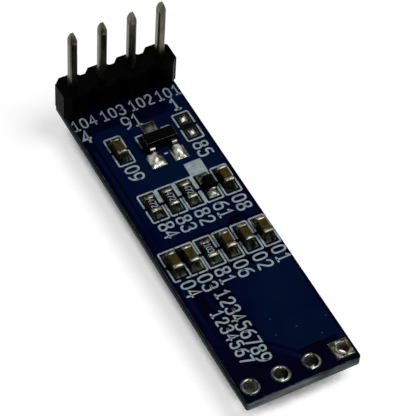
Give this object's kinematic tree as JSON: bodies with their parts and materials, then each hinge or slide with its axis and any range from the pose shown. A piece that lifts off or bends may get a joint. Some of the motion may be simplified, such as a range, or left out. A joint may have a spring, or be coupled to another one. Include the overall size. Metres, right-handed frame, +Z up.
{
  "type": "small oled module",
  "caption": "Narrow circuit board with a pin header at one end, plated contact holes at the other, chip parts above and a small display panel below.",
  "frame": {"origin": "below the middle of the board, on the viewing face of the display panel that the module rests on", "axes": "+Z up through the board to the chip parts, +Y along the board from the open holes to the pin header, +X along the contact rows towards contact 1"},
  "size_m": [0.0098, 0.032, 0.0111],
  "materials": {
    "laminate": "satin",
    "solder_mask": "gloss",
    "print_ink": "satin",
    "tinned_copper": "satin",
    "header_plastic": "gloss",
    "pin_metal": "satin",
    "solder": "gloss",
    "capacitor_ceramic": "satin",
    "resistor_body": "gloss",
    "cap_metal": "satin",
    "moulded_epoxy": "satin",
    "lead_metal": "satin",
    "front_glass": "gloss",
    "cover_glass": "gloss",
    "bond_epoxy": "satin",
    "pixel_film": "gloss",
    "drying_sheet": "matt",
    "polarizer": "gloss",
    "silicon": "gloss",
    "flex_film": "gloss",
    "foam": "matt"
  },
  "bodies": {
    "root": {"printed_board": "laminate", "solder_mask_top": "solder_mask", "solder_mask_bottom": "solder_mask", "printed_outlines": "print_ink", "contact_hole_1": "tinned_copper", "contact_hole_2": "tinned_copper", "contact_hole_3": "tinned_copper", "contact_hole_4": "tinned_copper", "header_hole_1": "tinned_copper", "header_hole_2": "tinned_copper", "header_hole_3": "tinned_copper", "header_hole_4": "tinned_copper", "header_housing": "header_plastic", "header_pin_1": "pin_metal", "header_pin_2": "pin_metal", "header_pin_3": "pin_metal", "header_pin_4": "pin_metal", "header_solder_1": "solder", "header_solder_2": "solder", "header_solder_3": "solder", "header_solder_4": "solder", "chip_lands": "tinned_copper", "chip_solder": "solder", "capacitor_c1": "capacitor_ceramic", "capacitor_c2": "capacitor_ceramic", "capacitor_c3": "capacitor_ceramic", "capacitor_c4": "capacitor_ceramic", "capacitor_c6": "capacitor_ceramic", "capacitor_c8": "capacitor_ceramic", "capacitor_c9": "capacitor_ceramic", "end_caps_c1": "cap_metal", "end_caps_c2": "cap_metal", "end_caps_c3": "cap_metal", "end_caps_c4": "cap_metal", "end_caps_c6": "cap_metal", "end_caps_c8": "cap_metal", "end_caps_c9": "cap_metal", "resistor_r1": "resistor_body", "resistor_r2": "resistor_body", "resistor_r3": "resistor_body", "resistor_r4": "resistor_body", "end_caps_r1": "cap_metal", "end_caps_r2": "cap_metal", "end_caps_r3": "cap_metal", "end_caps_r4": "cap_metal", "transistor_body": "moulded_epoxy", "transistor_leads": "lead_metal", "diode_body": "moulded_epoxy", "diode_leads": "lead_metal", "front_glass": "front_glass", "cover_glass": "cover_glass", "glass_bond": "bond_epoxy", "pixel_layers": "pixel_film", "drying_sheet": "drying_sheet", "polarizer": "polarizer", "driver_chip": "silicon", "flex_tail": "flex_film", "flex_lands": "tinned_copper", "flex_solder": "solder", "foam_tape": "foam"}
  },
  "joints": []
}
